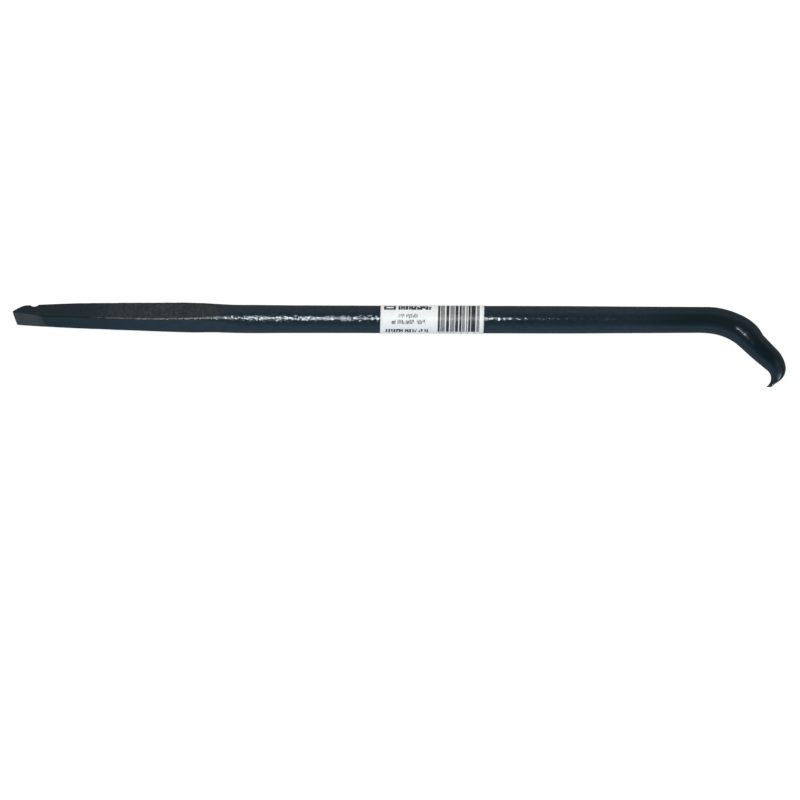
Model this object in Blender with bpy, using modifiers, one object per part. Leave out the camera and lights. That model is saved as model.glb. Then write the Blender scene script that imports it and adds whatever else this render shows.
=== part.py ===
"""Forged rim tool, a tyre lever made in one piece, with a paper label on its shank.

One end of a round steel bar is drawn out to a four-sided wedge with a ground chisel edge.
The other end bends down through a gooseneck to a waisted arm and a hooked claw.
The tool lies on its side, on the wedge's back corner and the flank of the claw.

Units are metres. +X runs along the shank from the chisel edge to the claw, the claw points
to -Y, and +Z is up. The origin is the bottom centre of the bounding box.
"""

import math
from collections import namedtuple

import bmesh
import bpy
from mathutils import Vector

# ---- driving dimensions, along the shank from the chisel edge ----
SHOULDER_END = 0.140        # where the wedge has blended into the round shank
NECK_START = 0.405          # where the gooseneck begins
SHOULDER_RADIUS = 0.0084    # the shank is slightly swollen beside the wedge
SHANK_RADIUS = 0.00815
NECK_RADIUS = 0.0077
NECK_RISE = 0.00015         # the bar's axis drifts this far to +Y by the neck
CLAW_HALF_WIDTH = 0.0095    # across the claw, square to the plane of the bend

LABEL_START = 0.2172
LABEL_LENGTH = 0.0611
LABEL_GAP = 0.0002
LABEL_THICKNESS = 0.00015
LABEL_SKEW = 0.0002         # how far the label creeps along the shank per radian of wrap

RING_SIDES = 24
FACET_ANGLE = 2 * math.pi / RING_SIDES
LABEL_FACETS = 15

# The wedge is set cornerwise: its ground face looks up and to -Y, its side faces look up and
# to +Y and the opposite way. Each section says how far the ground face and the back face
# stand from the shank's axis, half the width between the side faces, and the corner radius.
WedgeSection = namedtuple("WedgeSection", "along front back half_width corner")
WEDGE_SECTIONS = (
    WedgeSection(0.000, 0.00190, 0.00620, 0.00450, 0.0007),
    WedgeSection(0.009, 0.00235, 0.00690, 0.00460, 0.0008),
    WedgeSection(0.017, 0.00275, 0.00755, 0.00460, 0.0009),
    WedgeSection(0.035, 0.00365, 0.00835, 0.00500, 0.0011),
    WedgeSection(0.063, 0.00500, 0.00885, 0.00520, 0.0013),
    WedgeSection(0.087, 0.00590, 0.00873, 0.00560, 0.0017),
    WedgeSection(0.101, 0.00612, 0.00850, 0.00612, 0.0020),
    WedgeSection(0.111, 0.00620, 0.00815, 0.00650, 0.0026),
    WedgeSection(0.118, 0.00650, 0.00800, 0.00693, 0.0040),
    WedgeSection(0.125, 0.00720, 0.00790, 0.00763, 0.0058),
    WedgeSection(0.133, 0.00800, 0.00810, 0.00810, 0.0074),
)
WEDGE_TWIST = math.radians(45)

ShankSection = namedtuple("ShankSection", "along radius rise")
SHANK_SECTIONS = (
    ShankSection(SHOULDER_END, SHOULDER_RADIUS, 0.0),
    ShankSection(0.170, 0.0082, 0.0),
    ShankSection(0.200, SHANK_RADIUS, 0.0),
    ShankSection(0.320, SHANK_RADIUS, 0.0),
    ShankSection(0.365, 0.0079, 0.00005),
    ShankSection(NECK_START, NECK_RADIUS, NECK_RISE),
)

# The hook's two outlines in the plane of the bend. Outer and inner stretches are paired: each
# is an arc given by its length and by how far it turns down in degrees, and 0 is straight.
# The height above the shank's axis, the depth below it and the corner radius are those at the
# stretch's far end. The underside flares out first, because the bend is hammered flat on it.
HookStretch = namedtuple(
    "HookStretch", "outer_length outer_turn inner_length inner_turn top bottom corner rings")
HOOK_STRETCHES = (
    HookStretch(0.0052, 0.0, 0.0052, 4.0, 0.00770, 0.0080, 0.0076, 1),
    HookStretch(0.0092, 12.0, 0.0079, 12.0, 0.00775, 0.0090, 0.0072, 2),
    HookStretch(0.0165, 19.0, 0.0100, 19.0, 0.00815, CLAW_HALF_WIDTH, 0.0062, 4),
    HookStretch(0.0060, 15.0, 0.0042, 8.0, 0.00885, CLAW_HALF_WIDTH, 0.0058, 2),
    HookStretch(0.0065, 17.0, 0.0036, 1.0, 0.00935, CLAW_HALF_WIDTH, 0.0054, 2),
    HookStretch(0.0011, -17.0, 0.0010, -2.0, CLAW_HALF_WIDTH, CLAW_HALF_WIDTH, 0.0052, 1),
    HookStretch(0.0117, 0.0, 0.0117, -3.0, CLAW_HALF_WIDTH, CLAW_HALF_WIDTH, 0.0044, 2),
    HookStretch(0.0099, 31.0, 0.0049, -1.0, CLAW_HALF_WIDTH, CLAW_HALF_WIDTH, 0.0036, 3),
    HookStretch(0.0034, 19.0, 0.0032, 33.0, 0.00940, 0.0094, 0.0028, 2),
    HookStretch(0.0084, 52.0, 0.0043, 41.0, 0.00910, 0.0091, 0.0016, 4),
    HookStretch(0.0050, -8.0, 0.0034, 33.0, 0.00860, 0.0086, 0.0008, 2),
)

# The chisel end: a skewed edge, a bevel ground on the back and a long facet ground on the front.
EDGE_SKEW = math.radians(15)
EDGE_THICKNESS = 0.0028
BEVEL_LENGTH = 0.0090
FACET_LENGTH = 0.0205
FACET_DEPTH = 0.0013
FACET_ROLL = math.radians(1.5)
SCALLOP_ALONG = 0.0124
SCALLOP_RADIUS = 0.0037
SCALLOP_DEPTH = 0.0011
CUTTER_SIZE = 0.060

# The directions that the ground face and the upper side face look in.
FRONT = Vector((0, -1, 1)).normalized()
SIDE = Vector((0, 1, 1)).normalized()
ALONG = Vector((1, 0, 0))
UP = Vector((0, 0, 1))
ACROSS = Vector((0, 1, 0))


def clear_scene():
    for old in list(bpy.data.objects):
        bpy.data.objects.remove(old, do_unlink=True)


def new_collection(name):
    collection = bpy.data.collections.new(name)
    bpy.context.scene.collection.children.link(collection)
    return collection


def painted(name, colour, roughness, metallic=0.0):
    material = bpy.data.materials.new(name)
    material.use_nodes = True
    shader = material.node_tree.nodes["Principled BSDF"]
    shader.inputs["Base Color"].default_value = (*colour, 1.0)
    shader.inputs["Roughness"].default_value = roughness
    shader.inputs["Metallic"].default_value = metallic
    return material


def rounded_ring(centre, first, second, half_first, half_second, corner, twist=0.0):
    """Points round a rectangle with round corners, which is a circle when all three are equal.

    The points always sit at the same angles, so a twisted ring still pairs with a straight one.
    """
    points = []
    for side in range(RING_SIDES):
        angle = (side + 0.5) * FACET_ANGLE - twist
        along_first = math.copysign(half_first - corner, math.cos(angle)) + corner * math.cos(angle)
        along_second = math.copysign(half_second - corner, math.sin(angle)) + corner * math.sin(angle)
        points.append(centre + first * along_first + second * along_second)
    return points


def wedge_rings():
    rings = []
    for section in WEDGE_SECTIONS:
        centre = ALONG * section.along + FRONT * ((section.front - section.back) / 2)
        depth = (section.front + section.back) / 2
        rings.append(rounded_ring(
            centre, SIDE, FRONT, section.half_width, depth, section.corner, twist=WEDGE_TWIST))
    return rings


def shank_rings():
    return [
        rounded_ring(
            ALONG * section.along + ACROSS * section.rise, ACROSS, UP,
            section.radius, section.radius, section.radius)
        for section in SHANK_SECTIONS
    ]


def walk(point, heading, length, turn):
    """The end of an arc of this length that starts along heading and turns down by turn."""
    chord = length if turn == 0 else 2 * length / turn * math.sin(turn / 2)
    middle = heading - turn / 2
    step = Vector((math.cos(middle), math.sin(middle), 0)) * chord
    return point + step, heading - turn


def hook_rings():
    rings = []
    outer = Vector((NECK_START, NECK_RISE + NECK_RADIUS, 0))
    inner = Vector((NECK_START, NECK_RISE - NECK_RADIUS, 0))
    outer_heading = 0.0
    inner_heading = 0.0
    top, bottom, corner = NECK_RADIUS, NECK_RADIUS, NECK_RADIUS
    for stretch in HOOK_STRETCHES:
        for ring in range(stretch.rings):
            outer, outer_heading = walk(
                outer, outer_heading, stretch.outer_length / stretch.rings,
                math.radians(stretch.outer_turn / stretch.rings))
            inner, inner_heading = walk(
                inner, inner_heading, stretch.inner_length / stretch.rings,
                math.radians(stretch.inner_turn / stretch.rings))
            share = (ring + 1) / stretch.rings
            ring_top = top + share * (stretch.top - top)
            ring_bottom = bottom + share * (stretch.bottom - bottom)
            thickness = outer - inner
            rings.append(rounded_ring(
                (outer + inner) / 2 + UP * ((ring_top - ring_bottom) / 2),
                thickness.normalized(), UP, thickness.length / 2, (ring_top + ring_bottom) / 2,
                corner + share * (stretch.corner - corner)))
        top, bottom, corner = stretch.top, stretch.bottom, stretch.corner
    return rings


def loft(name, rings):
    """A closed body through the rings, with flat ends."""
    shape = bmesh.new()
    loops = [[shape.verts.new(point) for point in ring] for ring in rings]
    for near, far in zip(loops, loops[1:]):
        for side in range(RING_SIDES):
            after = (side + 1) % RING_SIDES
            shape.faces.new((near[side], far[side], far[after], near[after]))
    shape.faces.new(loops[0])
    shape.faces.new(reversed(loops[-1]))
    bmesh.ops.recalc_face_normals(shape, faces=shape.faces)
    mesh = bpy.data.meshes.new(name)
    shape.to_mesh(mesh)
    shape.free()
    return bpy.data.objects.new(name, mesh)


def hide_cutter(cutter, collection):
    for holder in list(cutter.users_collection):
        holder.objects.unlink(cutter)
    collection.objects.link(cutter)
    cutter.hide_render = True
    cutter.display_type = "WIRE"
    return cutter


def cutting_block(name, on_plane, outward, collection):
    """A block whose face lies on the plane, which cuts away everything on the outward side."""
    bpy.ops.mesh.primitive_cube_add(size=CUTTER_SIZE)
    block = bpy.context.object
    block.name = name
    block.location = on_plane + outward * (CUTTER_SIZE / 2)
    block.rotation_euler = outward.to_track_quat("Z", "Y").to_euler()
    return hide_cutter(block, collection)


def edge_cutter(collection):
    """Squares off the chisel edge, a little askew to the shank."""
    corner = FRONT * WEDGE_SECTIONS[0].front + SIDE * WEDGE_SECTIONS[0].half_width
    outward = -(ALONG * math.cos(EDGE_SKEW) + SIDE * math.sin(EDGE_SKEW))
    return cutting_block("edge_cutter", corner, outward, collection)


def bevel_cutter(collection):
    """Grinds the steep bevel on the wedge's back, down to the thickness of the edge."""
    heel = ALONG * BEVEL_LENGTH - FRONT * WEDGE_SECTIONS[1].back
    edge = FRONT * (WEDGE_SECTIONS[0].front - FACET_DEPTH - EDGE_THICKNESS)
    outward = (heel - edge).cross(SIDE).normalized()
    if outward.dot(FRONT) > 0:
        outward.negate()
    return cutting_block("bevel_cutter", edge, outward, collection)


def facet_cutter(collection):
    """Grinds the long, shallow facet on the wedge's front."""
    edge = FRONT * (WEDGE_SECTIONS[0].front - FACET_DEPTH)
    near, far = WEDGE_SECTIONS[2], WEDGE_SECTIONS[3]
    share = (FACET_LENGTH - near.along) / (far.along - near.along)
    heel = ALONG * FACET_LENGTH + FRONT * (near.front + share * (far.front - near.front))
    across = SIDE * math.cos(FACET_ROLL) + FRONT * math.sin(FACET_ROLL)
    outward = (heel - edge).cross(across).normalized()
    if outward.dot(FRONT) < 0:
        outward.negate()
    return cutting_block("facet_cutter", edge, outward, collection)


def scallop_cutter(collection):
    """The shallow scallop in the wedge's +Y corner, just behind the chisel edge."""
    section = WEDGE_SECTIONS[1]
    corner = SIDE * section.half_width - FRONT * section.back
    bpy.ops.mesh.primitive_cylinder_add(
        vertices=48, radius=SCALLOP_RADIUS, depth=CUTTER_SIZE,
        location=ALONG * SCALLOP_ALONG + ACROSS * (corner.y + SCALLOP_RADIUS - SCALLOP_DEPTH))
    cutter = bpy.context.object
    cutter.name = "scallop_cutter"
    return hide_cutter(cutter, collection)


def cut_with(target, cutter):
    cut = target.modifiers.new(cutter.name, "BOOLEAN")
    cut.operation = "DIFFERENCE"
    cut.solver = "EXACT"
    cut.object = cutter


def make_forged_lever(parts, cutters):
    lever = loft("forged_lever", wedge_rings() + shank_rings() + hook_rings())
    parts.objects.link(lever)
    lever.data.materials.append(painted("blue_black_enamel", (0.018, 0.033, 0.046), 0.38))
    lever.data.shade_smooth()
    lever.data.set_sharp_from_angle(angle=math.radians(35))
    for make_cutter in (facet_cutter, bevel_cutter, edge_cutter, scallop_cutter):
        cut_with(lever, make_cutter(cutters))
    return lever


def make_paper_label(parts):
    """A flat sheet rolled round the upper side of the shank, then thickened outwards."""
    shape = bmesh.new()
    bmesh.ops.create_grid(shape, x_segments=2, y_segments=LABEL_FACETS, size=0.5)
    radius = SHANK_RADIUS + LABEL_GAP
    for vertex in shape.verts:
        angle = vertex.co.y * LABEL_FACETS * FACET_ANGLE
        along = LABEL_START + (vertex.co.x + 0.5) * LABEL_LENGTH + angle * LABEL_SKEW
        vertex.co = (along, radius * math.sin(angle), radius * math.cos(angle))
    mesh = bpy.data.meshes.new("paper_label")
    shape.to_mesh(mesh)
    shape.free()
    label = bpy.data.objects.new("paper_label", mesh)
    parts.objects.link(label)
    label.data.materials.append(painted("label_paper", (0.86, 0.85, 0.84), 0.55))
    label.data.shade_smooth()
    thicken = label.modifiers.new("paper_thickness", "SOLIDIFY")
    thicken.thickness = LABEL_THICKNESS
    thicken.offset = 1.0
    return label


def stand_on_origin(lever, pieces):
    """Hangs the pieces on an empty that brings the bounding box's bottom centre to the origin."""
    evaluated = lever.evaluated_get(bpy.context.evaluated_depsgraph_get())
    corners = [Vector(corner) for corner in evaluated.bound_box]
    low = Vector(min(corner[axis] for corner in corners) for axis in range(3))
    high = Vector(max(corner[axis] for corner in corners) for axis in range(3))
    frame = bpy.data.objects.new("lever_frame", None)
    bpy.context.scene.collection.objects.link(frame)
    for piece in pieces:
        piece.parent = frame
    frame.location = (-(low.x + high.x) / 2, -(low.y + high.y) / 2, -low.z)


def main():
    clear_scene()
    parts = new_collection("tyre_lever")
    cutters = new_collection("cutters")
    lever = make_forged_lever(parts, cutters)
    label = make_paper_label(parts)
    bpy.context.view_layer.update()
    stand_on_origin(lever, [lever, label, *cutters.objects])


main()
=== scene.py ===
"""The looks of a forged rim tool, a tyre lever: an enamelled forging and its paper label.

Units are metres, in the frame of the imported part. Both pieces are built again as fine surfaces
that stand for the plain solids: the forging with its hammered skin, ground chisel end and worn
edges, and the label as a sheet of printed paper. The print is meaningless blocks and bars.
"""

import math
import random
from collections import namedtuple

import bpy
import numpy as np
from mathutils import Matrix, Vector, noise


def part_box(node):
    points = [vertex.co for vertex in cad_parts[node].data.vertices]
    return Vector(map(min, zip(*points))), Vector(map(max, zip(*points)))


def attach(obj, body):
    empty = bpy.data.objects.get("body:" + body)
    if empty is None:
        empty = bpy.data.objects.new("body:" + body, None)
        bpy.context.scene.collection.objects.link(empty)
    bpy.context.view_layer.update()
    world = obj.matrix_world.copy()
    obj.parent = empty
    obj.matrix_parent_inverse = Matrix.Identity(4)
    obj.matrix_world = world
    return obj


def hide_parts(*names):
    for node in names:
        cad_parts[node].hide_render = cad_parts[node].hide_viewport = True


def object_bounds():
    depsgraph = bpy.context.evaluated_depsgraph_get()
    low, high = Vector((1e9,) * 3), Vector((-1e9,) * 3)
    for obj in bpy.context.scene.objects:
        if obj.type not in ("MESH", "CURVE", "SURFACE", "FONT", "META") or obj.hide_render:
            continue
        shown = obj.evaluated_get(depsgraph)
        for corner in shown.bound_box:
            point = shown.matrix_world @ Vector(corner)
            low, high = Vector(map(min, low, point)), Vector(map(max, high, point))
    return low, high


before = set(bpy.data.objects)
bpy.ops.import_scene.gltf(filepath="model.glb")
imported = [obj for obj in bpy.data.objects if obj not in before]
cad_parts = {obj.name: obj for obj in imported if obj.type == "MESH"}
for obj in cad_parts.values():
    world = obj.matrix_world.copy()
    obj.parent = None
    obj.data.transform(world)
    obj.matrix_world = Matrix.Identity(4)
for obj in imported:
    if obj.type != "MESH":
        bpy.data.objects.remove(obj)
cad_low, cad_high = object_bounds()

MM = 0.001

# ---- places, from the frame ----
LEVER_LOW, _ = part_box("forged_lever")
LABEL_LOW, LABEL_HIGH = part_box("paper_label")
LABEL_HALF = (LABEL_HIGH.y - LABEL_LOW.y) / 2
# The shank's axis, level with the chisel edge. All the shapes below are placed from it.
START = Vector((LEVER_LOW.x, (LABEL_LOW.y + LABEL_HIGH.y) / 2, LABEL_HIGH.z - LABEL_HALF))
# The label reaches this many degrees round the shank on each side of its middle line, and creeps
# this far along the shank per radian.
LABEL_WRAP = 112.5
LABEL_SKEW = 0.0002
LABEL_CREEP = 2 * math.radians(LABEL_WRAP) * LABEL_SKEW
LABEL_START = LABEL_LOW.x - START.x + LABEL_CREEP / 2
LABEL_LENGTH = LABEL_HIGH.x - LABEL_LOW.x - LABEL_CREEP

# ---- the forging, along the shank from the chisel edge ----
SHOULDER_END = 0.140
NECK_START = 0.405
SHOULDER_RADIUS = 0.0084
SHANK_RADIUS = 0.00815
NECK_RADIUS = 0.0077
NECK_RISE = 0.00015
CLAW_HALF_WIDTH = 0.0095

# Depths in front of and behind the shank's axis, half the width, and the corners' radius.
WedgeSection = namedtuple("WedgeSection", "along front back half_width corner")
WEDGE_SECTIONS = (
    WedgeSection(0.000, 0.00190, 0.00620, 0.00450, 0.0006),
    WedgeSection(0.009, 0.00235, 0.00690, 0.00460, 0.0007),
    WedgeSection(0.017, 0.00275, 0.00755, 0.00460, 0.0008),
    WedgeSection(0.035, 0.00365, 0.00835, 0.00500, 0.0010),
    WedgeSection(0.063, 0.00500, 0.00885, 0.00520, 0.0012),
    WedgeSection(0.087, 0.00590, 0.00873, 0.00560, 0.0014),
    WedgeSection(0.101, 0.00612, 0.00850, 0.00612, 0.0016),
    WedgeSection(0.111, 0.00620, 0.00815, 0.00650, 0.0022),
    WedgeSection(0.118, 0.00650, 0.00800, 0.00693, 0.0036),
    WedgeSection(0.125, 0.00720, 0.00790, 0.00763, 0.0056),
    WedgeSection(0.133, 0.00800, 0.00810, 0.00810, 0.0074),
    WedgeSection(SHOULDER_END, SHOULDER_RADIUS, SHOULDER_RADIUS, SHOULDER_RADIUS, SHOULDER_RADIUS),
)
WEDGE_TWIST = math.radians(45)
# A corner stays a hair under the half width, so that no side of the outline vanishes.
CORNER_LIMIT = 0.999

ShankSection = namedtuple("ShankSection", "along radius rise")
SHANK_SECTIONS = (
    ShankSection(SHOULDER_END, SHOULDER_RADIUS, 0.0),
    ShankSection(0.170, 0.0082, 0.0),
    ShankSection(0.200, SHANK_RADIUS, 0.0),
    ShankSection(0.320, SHANK_RADIUS, 0.0),
    ShankSection(0.365, 0.0079, 0.00005),
    ShankSection(NECK_START, NECK_RADIUS, NECK_RISE),
)

# Outer and inner outlines of the hook in pairs of arcs: length, and degrees turned down. The
# height above the shank's axis, the depth below it, the section's squareness and its lean are
# those at the stretch's end. A section of power 2 is an ellipse, and a higher power is squarer.
# Lean is how steeply the upper face falls towards the inner side.
HookStretch = namedtuple(
    "HookStretch", "outer_length outer_turn inner_length inner_turn top bottom power lean")
HOOK_STRETCHES = (
    HookStretch(0.0052, 0.0, 0.0052, 4.0, 0.00770, 0.0080, 2.0, 0.0),
    HookStretch(0.0092, 12.0, 0.0079, 12.0, 0.00775, 0.0090, 2.05, 0.0),
    HookStretch(0.0104, 12.0, 0.0063, 12.0, 0.00790, 0.0093, 2.2, 0.0),
    HookStretch(0.0061, 7.0, 0.0037, 7.0, 0.00850, CLAW_HALF_WIDTH, 2.45, 0.0),
    HookStretch(0.0060, 15.0, 0.0042, 8.0, 0.00910, CLAW_HALF_WIDTH, 2.6, 0.0),
    HookStretch(0.0065, 17.0, 0.0036, 1.0, 0.00940, CLAW_HALF_WIDTH, 2.5, 0.0),
    HookStretch(0.0011, -17.0, 0.0010, -2.0, 0.00945, CLAW_HALF_WIDTH, 2.5, 0.0),
    HookStretch(0.0117, 0.0, 0.0117, -3.0, CLAW_HALF_WIDTH, CLAW_HALF_WIDTH, 2.6, 0.05),
    HookStretch(0.0099, 31.0, 0.0049, -1.0, 0.00940, CLAW_HALF_WIDTH, 2.8, 0.22),
    HookStretch(0.0034, 19.0, 0.0032, 33.0, 0.00910, 0.0094, 3.2, 0.34),
    HookStretch(0.0084, 52.0, 0.0043, 41.0, 0.00820, 0.0091, 3.4, 0.40),
    HookStretch(0.0050, -8.0, 0.0034, 33.0, 0.00760, 0.0086, 3.4, 0.40),
)

# ---- the chisel end, ground after forging ----
EDGE_SKEW = math.radians(15)
EDGE_FADE = 0.020
BEVEL_LENGTH = 0.0092
BEVEL_DROP = 0.0054
BEVEL_POWER = 1.6
# The ground facet is rolled a little: its height at the edge and its slope differ between the
# lower side and the upper side of the wedge.
FACET_LOW_SIDE = (0.0006, 0.104)
FACET_HIGH_SIDE = (-0.0007, 0.205)
FACET_END = 0.0235
SCALLOP_ALONG = 0.0124
SCALLOP_RADIUS = 0.0037
SCALLOP_DEPTH = 0.00105
# How far the corner round each ground face is eased.
FACET_SOFTNESS = 0.0003
BEVEL_SOFTNESS = 0.00012
SCALLOP_SOFTNESS = 0.0002
GROUND_BLUR = 0.00005
# The facet is only cut this far from the edge, and this height stands for nothing to cut.
GRIND_REACH = 0.05
CLEAR = -1
# The share of the stone's finish that is lost at the facet's heel, and where it fades.
GROUND_LOSS = 0.8
GROUND_FADE = (0.012, 0.023)

# ---- unevenness of the skin: taller where the bar was hammered than on the rolled shank ----
WEDGE_FORGED = (0.115, 0.150)
HOOK_FORGED = (0.410, 0.440)
Unevenness = namedtuple("Unevenness", "size stretch seed rolled_height hammered_height")
UNEVENNESS = (
    Unevenness(0.0220, 0.60, 1, 0.00003, 0.00007),
    Unevenness(0.0075, 1.00, 2, 0.00002, 0.00006),
    Unevenness(0.0026, 0.75, 3, 0.000012, 0.000012),
)
CORNER_WANDER = Unevenness(0.0060, 1.00, 4, 0.0, 0.00005)
WANDER_SHARPNESS = (300, 900)

# ---- where each finish fades in or out, along the shank ----
# The enamel is wavy from the wedge to the label, less so after it, and nearly smooth on the hook.
SKIN_STARTS = (0.10, 0.125)
SKIN_THINS = (0.275, 0.300)
SKIN_ENDS = (0.375, 0.410)
SKIN_THINNED = 0.75
SKIN_LOST = 0.9
SKIN_LEAST = 0.05
MATT_STARTS = (0.447, 0.452)
MATT_SHARE = 0.65
# Where the enamel is painted lighter round the key light's glint on the shank: partly dust, partly
# a painted sheen of the light.
DUST_AND_SHEEN_STARTS = (0.03, 0.11)
DUST_AND_SHEEN_ENDS = (0.360, 0.400)
SCALE_STARTS = (0.035, 0.075)
SCALE_ENDS = (0.112, 0.132)
# Scale lies on the side that faces up and back. Sharpness is in turns of a radian per metre.
SCALE_FACING = (0.3, 0.8)
WORN_SHARPNESS = (350, 1100)

# ---- fineness of the surface ----
RING_SIDES = 112
OUTLINE_STEP = math.radians(0.5)
LENGTH_SHARE = 0.55
TIP_END = 0.026
TIP_STEP = 0.00028
WEDGE_STEP = 0.00065
SHANK_STEP = 0.00095
HOOK_STEP = 0.00042
SMOOTH_RINGS = 7
END_RINGS = 6
END_BULGE = 0.00025
RIM_RINGS = 3
SHARP_ANGLE = math.radians(50)

# ---- directions: the wedge's front and side faces look half way between across and up ----
ALONG = np.array((1.0, 0.0, 0.0))
ACROSS = np.array((0.0, 1.0, 0.0))
UP = np.array((0.0, 0.0, 1.0))
FRONT = (UP - ACROSS) / math.sqrt(2)
SIDE = (UP + ACROSS) / math.sqrt(2)


# ---------------------------------------------------------------- small maths

# How far apart the noises of two seeds lie, and the least length that anything is divided by.
SEED_SHIFT = Vector((17.3, 5.1, 9.7))
NEVER_ZERO = 1e-9


def smooth_step(low, high, value):
    share = np.clip((value - low) / (high - low), 0, 1)
    return share * share * (3 - 2 * share)


def soft_over(value, softness):
    """How far value is above 0, with the corner at 0 rounded off."""
    eased = (value + softness) ** 2 / (4 * softness)
    return np.where(value < -softness, 0, np.where(value > softness, value, eased))


def through_points(places, known_places, known_values):
    """A smooth curve through known values that doesn't overshoot them."""
    known_places, known_values = np.array(known_places), np.array(known_values)
    gaps = np.diff(known_places)
    slopes = np.diff(known_values) / gaps
    tangents = np.empty(len(known_values))
    tangents[0], tangents[-1] = slopes[0], slopes[-1]
    before, after = slopes[:-1], slopes[1:]
    same_way = before * after > 0
    safe = np.where(same_way, before + after, 1)
    tangents[1:-1] = np.where(same_way, 2 * before * after / safe, 0)
    piece = np.clip(np.searchsorted(known_places, places, side="right") - 1, 0, len(gaps) - 1)
    gap = gaps[piece]
    share = (places - known_places[piece]) / gap
    start, end = known_values[piece], known_values[piece + 1]
    return (start * (1 + 2 * share) * (1 - share) ** 2 + end * share ** 2 * (3 - 2 * share)
            + tangents[piece] * gap * share * (1 - share) ** 2
            - tangents[piece + 1] * gap * share ** 2 * (1 - share))


def blurred(values, width):
    """Values along the hook, averaged over a few neighbours on each side."""
    padded = np.concatenate((np.full(width, values[0]), values, np.full(width, values[-1])))
    window = np.hanning(2 * width + 3)[1:-1]
    return np.convolve(padded, window / window.sum(), mode="valid")


def noise_at(points, kind):
    """Smooth random values from about -1 to 1 with features of this kind's size."""
    shift = kind.seed * SEED_SHIFT
    increment, lacunarity, octaves = 1.0, 2.0, 2
    return np.array([
        noise.fractal(Vector(point) / kind.size + shift, increment, lacunarity, octaves)
        for point in points * (kind.stretch, 1, 1)])


# ---------------------------------------------------------------- the forging's surface

def spread(first, second):
    """Points along a closed outline, spread over its length and its turns.

    Also gives how sharply the outline turns at each point.
    """
    step_first = np.diff(first, append=first[0])
    step_second = np.diff(second, append=second[0])
    lengths = np.maximum(np.hypot(step_first, step_second), NEVER_ZERO)
    headings = np.unwrap(np.arctan2(step_second, step_first))
    turns = np.abs(np.diff(headings, append=headings[0] + 2 * math.pi))
    turns = (turns + np.roll(turns, 1)) / 2
    measure = LENGTH_SHARE * lengths / lengths.sum() + (1 - LENGTH_SHARE) * turns / turns.sum()
    reached = np.concatenate(([0], np.cumsum(measure)))
    wanted = np.arange(RING_SIDES) / RING_SIDES * reached[-1]
    middles = (reached[1:] + reached[:-1]) / 2
    sharpness = np.interp(wanted, middles, turns / lengths)
    closed_first, closed_second = np.append(first, first[0]), np.append(second, second[0])
    return (
        np.interp(wanted, reached, closed_first),
        np.interp(wanted, reached, closed_second),
        sharpness,
    )


def rounded_rectangle(half_first, half_second, corner, twist):
    """A fine outline that starts at minus twist, half way along a side or round a corner."""
    turned = np.arange(OUTLINE_STEP / 2, 2 * math.pi, OUTLINE_STEP) - twist
    first = np.copysign(half_first - corner, np.cos(turned)) + corner * np.cos(turned)
    second = np.copysign(half_second - corner, np.sin(turned)) + corner * np.sin(turned)
    start_first, start_second = (first[0] + first[-1]) / 2, (second[0] + second[-1]) / 2
    return np.insert(first, 0, start_first), np.insert(second, 0, start_second)


def oval(half_first, half_second, power):
    turned = np.arange(0, 2 * math.pi, OUTLINE_STEP)
    cosine, sine = np.cos(turned), np.sin(turned)
    first = half_first * np.copysign(np.abs(cosine) ** (2 / power), cosine)
    second = half_second * np.copysign(np.abs(sine) ** (2 / power), sine)
    return first, second


def place_ring(centre, first_axis, second_axis, outline):
    first, second, sharpness = spread(*outline)
    points = centre + first[:, None] * first_axis + second[:, None] * second_axis
    return points, sharpness


def wedge_rings():
    places = np.concatenate((
        np.arange(0, TIP_END, TIP_STEP), np.arange(TIP_END, SHOULDER_END, WEDGE_STEP)))
    known, *columns = zip(*WEDGE_SECTIONS)
    sizes = (through_points(places, known, column) for column in columns)
    rings = []
    for along, front, back, half_width, corner in zip(places, *sizes):
        centre = ALONG * along + FRONT * ((front - back) / 2)
        depth = (front + back) / 2
        outline = rounded_rectangle(half_width, depth, corner * CORNER_LIMIT, WEDGE_TWIST)
        rings.append(place_ring(centre, SIDE, FRONT, outline))
    return rings


def shank_rings():
    places = np.arange(SHOULDER_END, NECK_START, SHANK_STEP)
    known, known_radii, known_rises = zip(*SHANK_SECTIONS)
    radii = through_points(places, known, known_radii)
    rises = through_points(places, known, known_rises)
    return [
        place_ring(ALONG * along + ACROSS * rise, ACROSS, UP, oval(radius, radius, 2))
        for along, radius, rise in zip(places, radii, rises)
    ]


def walk(point, heading, length, turn):
    """The end of an arc of this length that starts along heading and turns down by turn."""
    chord = length if turn == 0 else 2 * length / turn * math.sin(turn / 2)
    middle = heading - turn / 2
    step = np.array((math.cos(middle), math.sin(middle), 0.0)) * chord
    return point + step, heading - turn


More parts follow.
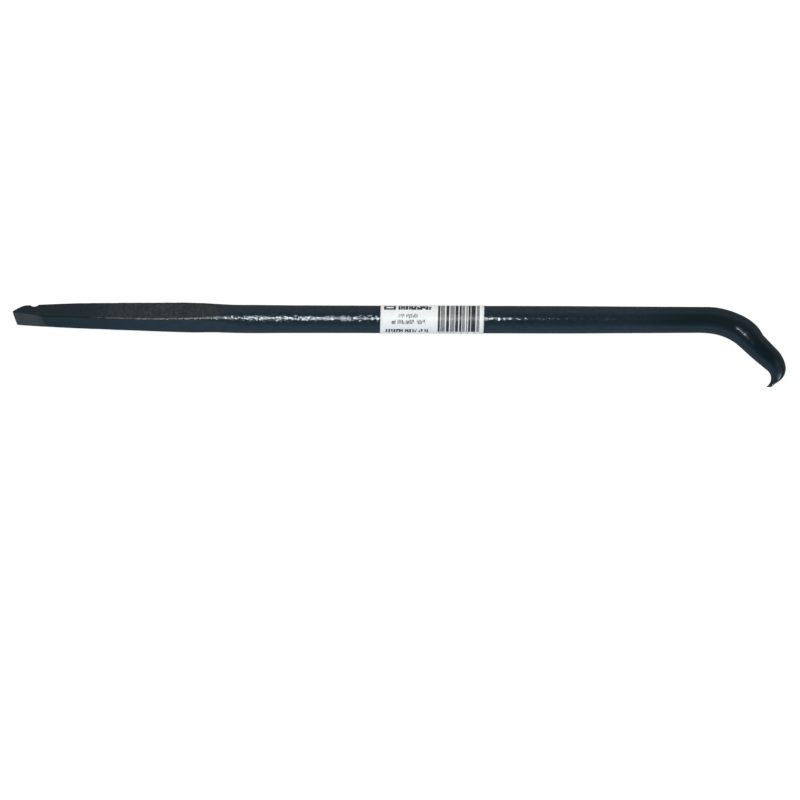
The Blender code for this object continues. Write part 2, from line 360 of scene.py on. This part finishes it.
def hook_rings():
    """Rings across the hook, between its outer and inner outlines."""
    neck = ALONG * NECK_START + ACROSS * NECK_RISE
    outer, inner = neck + ACROSS * NECK_RADIUS, neck - ACROSS * NECK_RADIUS
    outer_heading = inner_heading = 0.0
    outers, inners = [outer], [inner]
    last = np.array((NECK_RADIUS, NECK_RADIUS, 2.0, 0.0))
    sizes = [last]
    for stretch in HOOK_STRETCHES:
        steps = max(3, round(max(stretch.outer_length, stretch.inner_length) / HOOK_STEP))
        goal = np.array((stretch.top, stretch.bottom, stretch.power, stretch.lean))
        for step in range(steps):
            outer, outer_heading = walk(
                outer, outer_heading, stretch.outer_length / steps,
                math.radians(stretch.outer_turn / steps))
            inner, inner_heading = walk(
                inner, inner_heading, stretch.inner_length / steps,
                math.radians(stretch.inner_turn / steps))
            outers.append(outer)
            inners.append(inner)
            sizes.append(last + (goal - last) * (step + 1) / steps)
        last = goal
    smoothed = (blurred(column, SMOOTH_RINGS) for column in np.array(sizes).T)
    rings = []
    for outer, inner, top, bottom, power, lean in zip(outers, inners, *smoothed):
        centre = (outer + inner) / 2 + UP * ((top - bottom) / 2)
        thickness = outer - inner
        length = np.linalg.norm(thickness)
        half_height = (top + bottom) / 2
        first, second = oval(length / 2, half_height, power)
        second -= lean * (length / 2 - first) * np.maximum(second, 0) / half_height
        rings.append(place_ring(centre, thickness / length, UP, (first, second)))
    return rings


def skew_edge(points):
    """Leans the first rings over until the end lies along the skewed chisel edge."""
    sideways = points @ SIDE
    lean = math.tan(EDGE_SKEW) * (WEDGE_SECTIONS[0].half_width - sideways)
    points[:, 0] += lean * (1 - smooth_step(0, EDGE_FADE, points[:, 0]))


def grind(points, excess, direction, softness):
    """Moves what stands over a ground face down on to it, and says how much each point was."""
    depth = soft_over(excess, softness)
    points += depth[:, None] * direction
    return smooth_step(-GROUND_BLUR, GROUND_BLUR, excess)


def grind_chisel(points):
    """The long facet on the front, the round bevel on the back, and the scallop.

    Gives how much each point is on a ground face.
    """
    near_tip = points[:, 0] < GRIND_REACH
    along, forward, sideways = points[:, 0], points @ FRONT, points @ SIDE

    half_width = WEDGE_SECTIONS[0].half_width
    share = np.clip((sideways + half_width) / (2 * half_width), 0, 1)
    low_side, high_side = (
        height + slope * along for height, slope in (FACET_LOW_SIDE, FACET_HIGH_SIDE))
    facet = low_side + (high_side - low_side) * share + np.maximum(along - FACET_END, 0)
    over = np.where(near_tip, forward - facet, CLEAR)
    on_face = grind(points, over, -FRONT, FACET_SOFTNESS)
    ground = on_face * (1 - GROUND_LOSS * smooth_step(*GROUND_FADE, along))

    forward = points @ FRONT
    share = np.clip(1 - along / BEVEL_LENGTH, 0, 1)
    bevel = WEDGE_SECTIONS[1].back - BEVEL_DROP * share ** BEVEL_POWER
    over = np.where(along < BEVEL_LENGTH, -forward - bevel, CLEAR)
    ground = np.maximum(ground, grind(points, over, FRONT, BEVEL_SOFTNESS))

    corner = (SIDE * WEDGE_SECTIONS[1].half_width - FRONT * WEDGE_SECTIONS[1].back) @ ACROSS
    middle = corner + SCALLOP_RADIUS - SCALLOP_DEPTH
    offset = along - SCALLOP_ALONG
    reach = np.sqrt(np.maximum(SCALLOP_RADIUS ** 2 - offset ** 2, 0))
    over = np.where(reach > 0, points[:, 1] - (middle - reach), CLEAR)
    return np.maximum(ground, grind(points, over, -ACROSS, SCALLOP_SOFTNESS))


def surface_normals(grid):
    """Outward normals of a closed tube of rings, from its neighbouring points."""
    round_way = np.roll(grid, -1, axis=1) - np.roll(grid, 1, axis=1)
    long_way = np.gradient(grid, axis=0)
    normals = np.cross(round_way, long_way)
    lengths = np.linalg.norm(normals, axis=2, keepdims=True)
    return normals / np.maximum(lengths, NEVER_ZERO ** 2)


def hammered(grid, sharpness):
    """Adds the forging's own unevenness: broad flats, hammer dents, and the skin's waviness."""
    points = grid.reshape(-1, 3)
    normals = surface_normals(grid).reshape(-1, 3)
    along = points[:, 0]
    forged = 1 - smooth_step(*WEDGE_FORGED, along) + smooth_step(*HOOK_FORGED, along)
    height = np.zeros(len(points))
    for kind in UNEVENNESS:
        share = kind.rolled_height + (kind.hammered_height - kind.rolled_height) * forged
        height += noise_at(points, kind) * share
    on_corner = smooth_step(*WANDER_SHARPNESS, sharpness.ravel())
    height += noise_at(points, CORNER_WANDER) * on_corner * CORNER_WANDER.hammered_height
    return points + normals * height[:, None]


def end_cap(ring, sign):
    """Rings that close an end with a rounded rim and a nearly flat face."""
    centre = ring.mean(axis=0)
    outward = np.cross(ring[0] - centre, ring[RING_SIDES // 4] - centre)
    outward = outward / np.linalg.norm(outward) * sign
    rim_share = 1 / 3
    caps = []
    for step in range(1, END_RINGS + 1):
        share = step / (END_RINGS + 1)
        bulge = END_BULGE * math.sqrt(min(1.0, share / rim_share))
        caps.append(centre + (ring - centre) * (1 - share) + outward * bulge)
    return caps, centre + outward * END_BULGE


def mesh_from_rings(name, rings, first_centre, last_centre):
    """A closed body of quads through the rings, with a fan of triangles at each end."""
    vertices = np.concatenate([*rings, [first_centre], [last_centre]])
    around = np.arange(RING_SIDES)
    after = (around + 1) % RING_SIDES
    faces = []
    for ring in range(len(rings) - 1):
        near, far = ring * RING_SIDES, (ring + 1) * RING_SIDES
        quads = (near + around, far + around, far + after, near + after)
        faces += np.stack(quads, axis=1).tolist()
    first = len(rings) * RING_SIDES
    far = first - RING_SIDES
    faces += np.stack((around, after, np.full(RING_SIDES, first)), axis=1).tolist()
    faces += np.stack((far + after, far + around, np.full(RING_SIDES, first + 1)), axis=1).tolist()
    mesh = bpy.data.meshes.new(name)
    mesh.from_pydata((vertices + np.array(START)).tolist(), [], faces)
    mesh.update()
    return mesh


def add_attribute(mesh, name, body, first_cap=0.0, last_cap=0.0, cap_middles=0.0):
    """A value for every point: those of the body, then one for each part of the end caps."""
    cap_points = END_RINGS * RING_SIDES
    values = np.concatenate((
        np.full(cap_points, first_cap), body, np.full(cap_points, last_cap), [cap_middles] * 2))
    layer = mesh.attributes.new(name, "FLOAT", "POINT")
    layer.data.foreach_set("value", values.astype(np.float32))


def add_finishes(mesh, points, grid, sharpness, ground):
    """Says where the enamel is ground, wavy, matt, worn or scaly, where the end rim gets painted
    shade, and where dust and a painted sheen lighten it.
    """
    along = points[:, 0]
    skin = smooth_step(*SKIN_STARTS, along) * (1 - SKIN_THINNED * smooth_step(*SKIN_THINS, along))
    skin *= 1 - SKIN_LOST * smooth_step(*SKIN_ENDS, along)
    matt = MATT_SHARE * smooth_step(*MATT_STARTS, along)
    # Lighter enamel round the key light's glint: partly dust, partly a painted sheen.
    dust_and_sheen = smooth_step(*DUST_AND_SHEEN_STARTS, along) * (1 - smooth_step(*DUST_AND_SHEEN_ENDS, along))
    rim = np.arange(len(points)) < RING_SIDES * RIM_RINGS
    worn_corner = smooth_step(*WORN_SHARPNESS, sharpness.ravel())
    scaly = smooth_step(*SCALE_FACING, surface_normals(grid).reshape(-1, 3) @ SIDE)
    scaly *= smooth_step(*SCALE_STARTS, along) * (1 - smooth_step(*SCALE_ENDS, along))
    add_attribute(mesh, "ground", ground, first_cap=1.0, cap_middles=1.0)
    add_attribute(mesh, "peel", SKIN_LEAST + (1 - SKIN_LEAST) * skin)
    add_attribute(mesh, "matt", matt, last_cap=MATT_SHARE, cap_middles=1.0)
    add_attribute(mesh, "dust_and_sheen", dust_and_sheen)
    # The end rim: painted shade on its rounded edge, and worn chips of bare steel.
    add_attribute(mesh, "border", rim, cap_middles=1.0)
    add_attribute(mesh, "corner", worn_corner, last_cap=1.0, cap_middles=1.0)
    add_attribute(mesh, "scaly", scaly)


def make_forging():
    rings = wedge_rings() + shank_rings() + hook_rings()
    grid = np.array([points for points, _ in rings])
    sharpness = np.array([sharp for _, sharp in rings])
    points = hammered(grid, sharpness)
    skew_edge(points)
    ground = grind_chisel(points)

    grid = points.reshape(len(rings), RING_SIDES, 3)
    first_caps, first_centre = end_cap(grid[0], -1)
    last_caps, last_centre = end_cap(grid[-1], 1)
    all_rings = [*reversed(first_caps), *grid, *last_caps]
    mesh = mesh_from_rings("lever_surface", all_rings, first_centre, last_centre)
    add_finishes(mesh, points, grid, sharpness, ground)

    piece = bpy.data.objects.new("lever_surface", mesh)
    bpy.context.scene.collection.objects.link(piece)
    mesh.shade_smooth()
    mesh.set_sharp_from_angle(angle=SHARP_ANGLE)
    mesh.materials.append(enamel_material())
    return piece


# ---------------------------------------------------------------- the label

# The print, in millimetres from the label's left edge and in degrees up from its middle line. A
# row has the places of its words, the range of its stems and gaps, and how thick its level
# strokes are, as a share of its height. Other areas are left, right, low and high.
Row = namedtuple("Row", "low high words stem gap weight")
ROWS = (
    Row(42, 69, ((10.5, 30.9),), (1.0, 1.6), (0.28, 0.5), 0.42),
    Row(5, 21.5, ((10.8, 14.4), (15.3, 22.4)), (0.28, 0.42), (0.30, 0.5), 0.18),
    Row(-20.5, -2.5, ((6.7, 9.3), (10.2, 14.4), (15.0, 20.3), (21.5, 26.8)),
        (0.42, 0.6), (0.3, 0.42), 0.2),
    Row(-65, -43.5, ((3.4, 13.5), (14.7, 18.5), (19.1, 22.1), (22.9, 25.3), (26.2, 28.3)),
        (0.7, 1.1), (0.4, 0.7), 0.3),
)
EMBLEM = (2.0, 9.0, 42, 69)
EMBLEM_LINE = 1.4
RULE = (3.2, 12.0, -79.5, -78)
BARCODE = (33.9, 58.4, -61, 76)
BAR_UNIT = 0.44
BAR_WIDTHS = (2, 3, 4, 6)
BAR_GAPS = (0.8, 0.8, 1.4)
HAIRLINE = 0.22
HAIRLINE_WEIGHT = 1.5
CAPTION = Row(-77, -66, (), (0.25, 0.3), (0.3, 0.4), 0.3)
CAPTION_MARGIN = 1.0
CAPTION_WORD = 1.0
CAPTION_STEPS = (2.1, 2.1, 4.0)
# How far a stem is cut short, how often two are joined, and at what height.
STEM_CUTS = (0.0, 0.0, 0.25, 0.4)
JOIN_CHANCE = 0.55
JOIN_MIDDLE = 0.42
PRINT_SEED = 7
LABEL_LONG_STEP = 1.5
LABEL_ROUND_STEP = 3.0
LEAST_STEP = 0.02
PAPER_THICKNESS = 0.00012
# The sheet lies this far off the shank, waves a little, and curls up within this many millimetres
# of its two ends.
LABEL_LIFT = 0.00006
GLUE = 0.00003
LABEL_WAVES = ((0.009, 0.00003), (0.003, 0.00001))
CURL_REACH = 1.2
CURL_HEIGHT = 0.00005
CURL_SIZE = 0.004


def word_strokes(rng, row, place, end):
    """A run of upright strokes joined here and there, which looks like a word and says nothing."""
    strokes = []
    low, high = row.low, row.high
    height = high - low
    while place < end - row.stem[0]:
        width = min(rng.uniform(*row.stem), end - place)
        cut = rng.choice(STEM_CUTS) * height
        if rng.random() < 0.5:
            strokes.append((place, place + width, low, high - cut))
        else:
            strokes.append((place, place + width, low + cut, high))
        space = rng.uniform(*row.gap)
        if rng.random() < JOIN_CHANCE and place + width + space < end:
            level = rng.choice((0.0, JOIN_MIDDLE, 1.0 - row.weight))
            strokes.append((
                place + width, place + width + space,
                low + level * height, low + (level + row.weight) * height))
        place += width + space
    return strokes


def barcode_strokes(rng):
    """Broad bars and bundles of hairlines with gaps between, all made up."""
    place, end, low, high = BARCODE
    strokes = []
    while place < end - BAR_UNIT:
        width = min(BAR_UNIT * rng.choice(BAR_WIDTHS), end - place)
        if rng.random() < 0.5:
            strokes.append((place, place + width, low, high))
        else:
            for line in range(max(1, round(width / (2 * HAIRLINE)))):
                left = place + line * 2 * HAIRLINE
                strokes.append((left, left + HAIRLINE_WEIGHT * HAIRLINE, low, high))
        place += width + BAR_UNIT * rng.choice(BAR_GAPS)
    return strokes


def printed_areas():
    """Every inked area: rows of words, a plain frame, a rule, and bars with a caption."""
    rng = random.Random(PRINT_SEED)
    areas = []
    for row in ROWS:
        for start, end in row.words:
            areas += word_strokes(rng, row, start, end)
    left, right, low, high = EMBLEM
    third = (high - low) / 3
    areas += [
        (left, right, low, low + third),
        (left, right, high - third, high),
        (left, left + EMBLEM_LINE, low, high),
        (right - EMBLEM_LINE, right, low, high),
        RULE,
    ]
    areas += barcode_strokes(rng)
    place = BARCODE[0] + CAPTION_MARGIN
    while place < BARCODE[1] - CAPTION_MARGIN - CAPTION_WORD:
        areas += word_strokes(rng, CAPTION, place, place + CAPTION_WORD)
        place += rng.choice(CAPTION_STEPS)
    return areas


def cut_places(edges, low, high, step):
    """Even places from low to high with every edge added, and none closer than a hair."""
    inside = {edge for edge in edges if low < edge < high}
    places = sorted(set(np.arange(low, high, step)) | {high} | inside)
    kept = [places[0]]
    for place in places[1:]:
        if place - kept[-1] > LEAST_STEP:
            kept.append(place)
    return np.array(kept)


def label_point(length, angle):
    """Where a point of the flat sheet lies once the sheet is round the shank."""
    turned = math.radians(angle)
    radius = SHANK_RADIUS + LABEL_LIFT
    along = LABEL_START + length * MM + turned * LABEL_SKEW
    spot = Vector((along, radius * turned, 0))
    from_end = min(length, LABEL_LENGTH / MM - length)
    curl = CURL_HEIGHT * max(0, 1 - from_end / CURL_REACH) * (1 + noise.noise(spot / CURL_SIZE))
    wave = sum(noise.noise(spot / size) * height for size, height in LABEL_WAVES)
    reach = radius + wave + curl + GLUE
    return START + Vector((along, math.sin(turned) * reach, math.cos(turned) * reach))


def make_label():
    areas = printed_areas()
    side_edges = {edge for area in areas for edge in area[:2]}
    level_edges = {edge for area in areas for edge in area[2:]}
    lengths = cut_places(side_edges, 0, LABEL_LENGTH / MM, LABEL_LONG_STEP)
    angles = cut_places(level_edges, -LABEL_WRAP, LABEL_WRAP, LABEL_ROUND_STEP)
    vertices = [label_point(length, angle) for length in lengths for angle in angles]
    across, upward = (lengths[1:] + lengths[:-1]) / 2, (angles[1:] + angles[:-1]) / 2
    inked = np.zeros((len(across), len(upward)), dtype=bool)
    for left, right, low, high in areas:
        inked |= np.outer((across > left) & (across < right), (upward > low) & (upward < high))
    rows = len(angles)
    faces = []
    for column in range(len(across)):
        for row in range(len(upward)):
            corner = column * rows + row
            faces.append((corner, corner + rows, corner + rows + 1, corner + 1))
    mesh = bpy.data.meshes.new("label_sheet")
    mesh.from_pydata(vertices, [], faces)
    mesh.materials.append(paper_material())
    mesh.materials.append(ink_material())
    mesh.polygons.foreach_set("material_index", inked.ravel().astype(np.int32))
    mesh.update()
    mesh.shade_smooth()
    piece = bpy.data.objects.new("label_sheet", mesh)
    bpy.context.scene.collection.objects.link(piece)
    sheet = piece.modifiers.new("paper_thickness", "SOLIDIFY")
    sheet.thickness = PAPER_THICKNESS
    sheet.offset = 1.0
    return piece


# ---------------------------------------------------------------- materials

# Pairs are the two colours that a pattern runs between.
CLEAN_ENAMEL = ((0.0050, 0.0108, 0.0150, 1), (0.0072, 0.0130, 0.0170, 1))
# The lighter enamel is partly dust and partly a painted sheen of the key light.
LIT_AND_DUSTED_ENAMEL = ((0.0095, 0.0170, 0.0260, 1), (0.0165, 0.0255, 0.0350, 1))
FORGE_SCALE = ((0.009, 0.011, 0.013, 1), (0.050, 0.051, 0.051, 1))
SCALE_MARK = (0.010, 0.012, 0.014, 1)
GROUND_FACE = ((0.026, 0.030, 0.031, 1), (0.052, 0.057, 0.056, 1))
# The chisel's end rim is painted dark: painted shade where its rounded edge turns away from the
# light.
END_RIM_PAINTED_SHADE = (0.010, 0.010, 0.010, 1)
BARE_STEEL = (0.13, 0.105, 0.085, 1)
ENAMEL_TINT = (0.80, 0.92, 1.0, 1)
PAPER = ((0.90, 0.895, 0.885, 1), (0.85, 0.83, 0.77, 1))
PAPER_FIBRE = (0.62, 0.63, 0.64, 1)
INK = ((0.012, 0.012, 0.014, 1), (0.085, 0.085, 0.09, 1))
FIBRE_SIZE = 0.0004
FIBRE_DEPTH = 0.000012
PEEL_DEPTH = 0.00042
GRAIN_DEPTH = 0.00003
RASP_DEPTH = 0.00012


class Shading:
    """A material's node tree, with a short way to add each kind of node."""

    def __init__(self, name):
        self.material = bpy.data.materials.new(name)
        self.material.use_nodes = True
        self.tree = self.material.node_tree
        self.shader = self.tree.nodes["Principled BSDF"]

    def node(self, kind, inputs=(), **settings):
        made = self.tree.nodes.new(kind)
        for setting, value in settings.items():
            setattr(made, setting, value)
        for socket, value in dict(inputs).items():
            self.feed(value, made.inputs[socket])
        return made

    def feed(self, value, socket):
        if isinstance(value, bpy.types.NodeSocket):
            self.tree.links.new(value, socket)
        else:
            socket.default_value = value

    def place(self, stretch):
        """The piece's own coordinates, squeezed along some axes to stretch a pattern."""
        coordinates = self.node("ShaderNodeTexCoord").outputs["Object"]
        if stretch == (1, 1, 1):
            return coordinates
        mapping = self.node("ShaderNodeMapping", {"Vector": coordinates, "Scale": stretch})
        return mapping.outputs["Vector"]

    def noise(self, size, detail=3.0, roughness=0.5, stretch=(1, 1, 1)):
        """Noise with features of about this size."""
        made = self.node("ShaderNodeTexNoise", {
            "Vector": self.place(stretch), "Scale": 1 / size, "Detail": detail,
            "Roughness": roughness})
        return made.outputs["Fac"]

    def attribute(self, name):
        return self.node("ShaderNodeAttribute", attribute_name=name).outputs["Fac"]

    def remap(self, value, low, high, to_low=0.0, to_high=1.0):
        made = self.node("ShaderNodeMapRange", {
            "Value": value, "From Min": low, "From Max": high,
            "To Min": to_low, "To Max": to_high})
        return made.outputs["Result"]

    def math(self, operation, first, second):
        made = self.node("ShaderNodeMath", operation=operation)
        self.feed(first, made.inputs[0])
        self.feed(second, made.inputs[1])
        return made.outputs[0]

    def blend(self, share, first, second):
        """Mixes two colours."""
        made = self.node("ShaderNodeMix", data_type="RGBA")
        self.feed(share, made.inputs[0])
        self.feed(first, made.inputs[6])
        self.feed(second, made.inputs[7])
        return made.outputs[2]

    def bump(self, height, distance, normal=None):
        inputs = {"Height": height, "Distance": distance, "Strength": 1.0}
        if normal is not None:
            inputs["Normal"] = normal
        return self.node("ShaderNodeBump", inputs).outputs["Normal"]

    def set(self, **inputs):
        for name, value in inputs.items():
            self.feed(value, self.shader.inputs[name.replace("_", " ")])


def enamel_material():
    """Dark blue-black enamel over forged steel, thin and rough where the skin is scaly."""
    shading = Shading("blue_black_enamel_finish")
    ground, border = shading.attribute("ground"), shading.attribute("border")
    corner, scaly = shading.attribute("corner"), shading.attribute("scaly")
    dust_and_sheen, wavy = shading.attribute("dust_and_sheen"), shading.attribute("peel")

    cloud = shading.remap(shading.noise(0.016, detail=4, stretch=(0.4, 1, 1)), 0.35, 0.65)
    mottle = shading.remap(shading.noise(0.0024, detail=5, roughness=0.65), 0.35, 0.65)
    clean = shading.blend(cloud, *CLEAN_ENAMEL)
    lit_and_dusted = shading.blend(mottle, *LIT_AND_DUSTED_ENAMEL)
    # Towards the key light's glint the enamel is painted lighter: partly dust, partly a painted
    # sheen.
    enamel = shading.blend(shading.math("MULTIPLY", dust_and_sheen, 0.85), clean, lit_and_dusted)

    patches = shading.remap(shading.noise(0.0016, detail=6, roughness=0.7), 0.40, 0.62)
    marks = shading.remap(shading.noise(0.0020, detail=2, stretch=(1, 0.2, 0.2)), 0.40, 0.62)
    scale = shading.blend(patches, *FORGE_SCALE)
    scale = shading.blend(shading.math("MULTIPLY", marks, 0.45), scale, SCALE_MARK)
    colour = shading.blend(shading.math("MULTIPLY", scaly, 0.85), enamel, scale)

    streaks = shading.noise(0.0009, detail=3, stretch=(0.05, 1, 1))
    stone = shading.blend(shading.remap(streaks, 0.35, 0.65), *GROUND_FACE)
    colour = shading.blend(shading.math("MULTIPLY", ground, 0.85), colour, stone)
    # Painted shade on the chisel's end rim, where its rounded edge turns away from the light.
    colour = shading.blend(shading.math("MULTIPLY", border, 0.8), colour, END_RIM_PAINTED_SHADE)

    chips = shading.remap(shading.noise(0.0012, detail=4, roughness=0.65), 0.50, 0.62)
    exposed = shading.math("MAXIMUM", border, shading.math("MULTIPLY", corner, 0.05))
    bare = shading.math("MULTIPLY", chips, exposed)
    colour = shading.blend(bare, colour, BARE_STEEL)

    rough = shading.noise(0.006, detail=4, roughness=0.6)
    rough = shading.remap(rough, 0.3, 0.7, 0.13, 0.19)
    rough = shading.math("MULTIPLY", rough, shading.remap(wavy, 0.3, 1.0, 0.75))
    dull = shading.math("MAXIMUM", ground, shading.math("MULTIPLY", scaly, 0.8))
    dull = shading.math("MAXIMUM", dull, shading.attribute("matt"))
    rough = shading.math("ADD", rough, shading.math("MULTIPLY", dull, 0.35))

    peel = shading.noise(0.0021, detail=2.5, roughness=0.6)
    peel = shading.math("MULTIPLY", peel, wavy)
    grain = shading.noise(0.0006, detail=3, roughness=0.6)
    grain_depth = shading.remap(wavy, 0.05, 0.40, 0.2, 1.0)
    grain = shading.math("MULTIPLY", grain, shading.math("MAXIMUM", grain_depth, scaly))
    rasped = shading.math("MULTIPLY", marks, scaly)
    normal = shading.bump(peel, PEEL_DEPTH)
    normal = shading.bump(grain, GRAIN_DEPTH, normal)
    normal = shading.bump(rasped, RASP_DEPTH, normal)
    shading.set(Base_Color=colour, Roughness=rough, Metallic=shading.math("MULTIPLY", bare, 0.8),
                Normal=normal, Specular_Tint=ENAMEL_TINT)
    return shading.material


def paper_material():
    shading = Shading("label_paper_finish")
    stain = shading.remap(shading.noise(0.007, detail=3), 0.45, 0.75)
    fibre = shading.noise(FIBRE_SIZE, detail=4, roughness=0.7)
    paper = shading.blend(stain, *PAPER)
    paper = shading.blend(shading.remap(fibre, 0.3, 0.8, 0.0, 0.15), paper, PAPER_FIBRE)
    shading.set(Base_Color=paper, Roughness=0.55, Normal=shading.bump(fibre, FIBRE_DEPTH))
    return shading.material


def ink_material():
    shading = Shading("label_print_finish")
    patchy = shading.remap(shading.noise(0.0009, detail=4, roughness=0.7), 0.45, 0.75)
    fibre = shading.noise(FIBRE_SIZE, detail=4, roughness=0.7)
    ink = shading.blend(patchy, *INK)
    shading.set(Base_Color=ink, Roughness=0.45, Normal=shading.bump(fibre, FIBRE_DEPTH))
    return shading.material


# ---------------------------------------------------------------- studio

VIEW_CENTRE = (cad_low + cad_high) / 2
CAMERA_DISTANCE = 3.0
FRAME_WIDTH = 0.473
FRAME_SHIFT = (0.00055, -0.0328)
CAMERA_ROLL = 0.0025
SENSOR_WIDTH = 36.0
# Where the key light glints on the top of the shank, and how high the light hangs.
GLINT_ALONG = -0.053
GLINT_ACROSS = 0.0004
KEY_HEIGHT = 0.90
KEY_SIZE = 0.080
KEY_POWER = 6.5
# The room's colour towards -Y and towards +Y, and its brightness from straight below, at 0, over
# level, at 0.5, to overhead, at 1.
COOL_SIDE = (0.15, (0.31, 0.43, 0.53))
WARM_SIDE = (0.85, (0.27, 0.30, 0.31))
ROOM_LEVELS = (
    (0.0, 0.10), (0.10, 0.45), (0.28, 0.85), (0.50, 1.0), (0.66, 1.4), (0.86, 0.55), (1.0, 0.12))
BACKDROP = (0.95, 0.95, 0.95, 1)
FLOOR_SIZE = 9.0
FLOOR_DROP = 0.0004
FLOOR_COLOUR = (0.10, 0.10, 0.10, 1)
FLOOR_ROUGHNESS = 0.9
FLOOR_GLOW = 0.97


def make_camera():
    data = bpy.data.cameras.new("studio_camera")
    data.sensor_width = SENSOR_WIDTH
    data.lens = SENSOR_WIDTH * CAMERA_DISTANCE / FRAME_WIDTH
    camera = bpy.data.objects.new("studio_camera", data)
    camera.location = (
        VIEW_CENTRE.x + FRAME_SHIFT[0], VIEW_CENTRE.y + FRAME_SHIFT[1], START.z + CAMERA_DISTANCE)
    camera.rotation_euler = (0, 0, CAMERA_ROLL)
    bpy.context.scene.collection.objects.link(camera)
    bpy.context.scene.camera = camera
    return camera


def make_key_light(camera):
    """A small square light, whose mirror image in the top of the shank falls at the glint."""
    glint = Vector((GLINT_ALONG, START.y + GLINT_ACROSS, START.z + SHANK_RADIUS))
    tilt = math.asin(GLINT_ACROSS / SHANK_RADIUS)
    to_camera = (camera.location - glint).normalized()
    normal = Vector((0, math.sin(tilt), math.cos(tilt)))
    to_light = 2 * to_camera.dot(normal) * normal - to_camera
    data = bpy.data.lights.new("key_light", "AREA")
    data.shape = "RECTANGLE"
    data.size = data.size_y = KEY_SIZE
    data.energy = KEY_POWER
    light = bpy.data.objects.new("key_light", data)
    light.location = glint + to_light * (KEY_HEIGHT / to_light.z)
    light.rotation_euler = (glint - light.location).to_track_quat("-Z", "Y").to_euler()
    bpy.context.scene.collection.objects.link(light)


def make_ramp(nodes, axis, stops):
    """A colour that changes along an axis of the room, from -1 at place 0 to 1 at place 1."""
    links = bpy.context.scene.world.node_tree.links
    share = nodes.new("ShaderNodeMapRange")
    share.inputs["From Min"].default_value = -1
    links.new(axis, share.inputs["Value"])
    made = nodes.new("ShaderNodeValToRGB")
    elements = made.color_ramp.elements
    for element, (place, colour) in zip(elements, (stops[0], stops[-1])):
        element.position, element.color = place, (*colour, 1)
    for place, colour in stops[1:-1]:
        elements.new(place).color = (*colour, 1)
    links.new(share.outputs["Result"], made.inputs["Fac"])
    return made.outputs["Color"]


def make_world():
    """A dim room: cool towards -Y, warmer towards +Y, and darker overhead and straight below."""
    world = bpy.data.worlds.new("studio_world")
    world.use_nodes = True
    bpy.context.scene.world = world
    nodes, links = world.node_tree.nodes, world.node_tree.links
    place = nodes.new("ShaderNodeTexCoord")
    parts = nodes.new("ShaderNodeSeparateXYZ")
    links.new(place.outputs["Generated"], parts.inputs["Vector"])
    sides = make_ramp(nodes, parts.outputs["Y"], (COOL_SIDE, WARM_SIDE))
    heights = make_ramp(
        nodes, parts.outputs["Z"], [(height, (level,) * 3) for height, level in ROOM_LEVELS])
    room = nodes.new("ShaderNodeMix")
    room.data_type, room.blend_type = "RGBA", "MULTIPLY"
    room.inputs[0].default_value = 1.0
    links.new(sides, room.inputs[6])
    links.new(heights, room.inputs[7])
    rays = nodes.new("ShaderNodeLightPath")
    seen = nodes.new("ShaderNodeMix")
    seen.data_type = "RGBA"
    seen.inputs[7].default_value = BACKDROP
    links.new(rays.outputs["Is Camera Ray"], seen.inputs[0])
    links.new(room.outputs[2], seen.inputs[6])
    links.new(seen.outputs[2], nodes["Background"].inputs["Color"])


def make_floor():
    bpy.ops.mesh.primitive_plane_add(size=FLOOR_SIZE, location=(0, 0, cad_low.z - FLOOR_DROP))
    floor = bpy.context.object
    floor.name = "studio_floor"
    shading = Shading("pale_floor_finish")
    shading.set(Base_Color=FLOOR_COLOUR, Roughness=FLOOR_ROUGHNESS,
                Emission_Color=(1, 1, 1, 1), Emission_Strength=FLOOR_GLOW)
    floor.data.materials.append(shading.material)
    floor.visible_glossy = False


def main():
    camera = make_camera()
    make_key_light(camera)
    make_world()
    make_floor()
    bpy.context.scene.view_settings.view_transform = "Standard"

    forging = make_forging()
    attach(forging, "root")
    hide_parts("forged_lever")

    label = make_label()
    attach(label, "root")
    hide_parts("paper_label")


main()
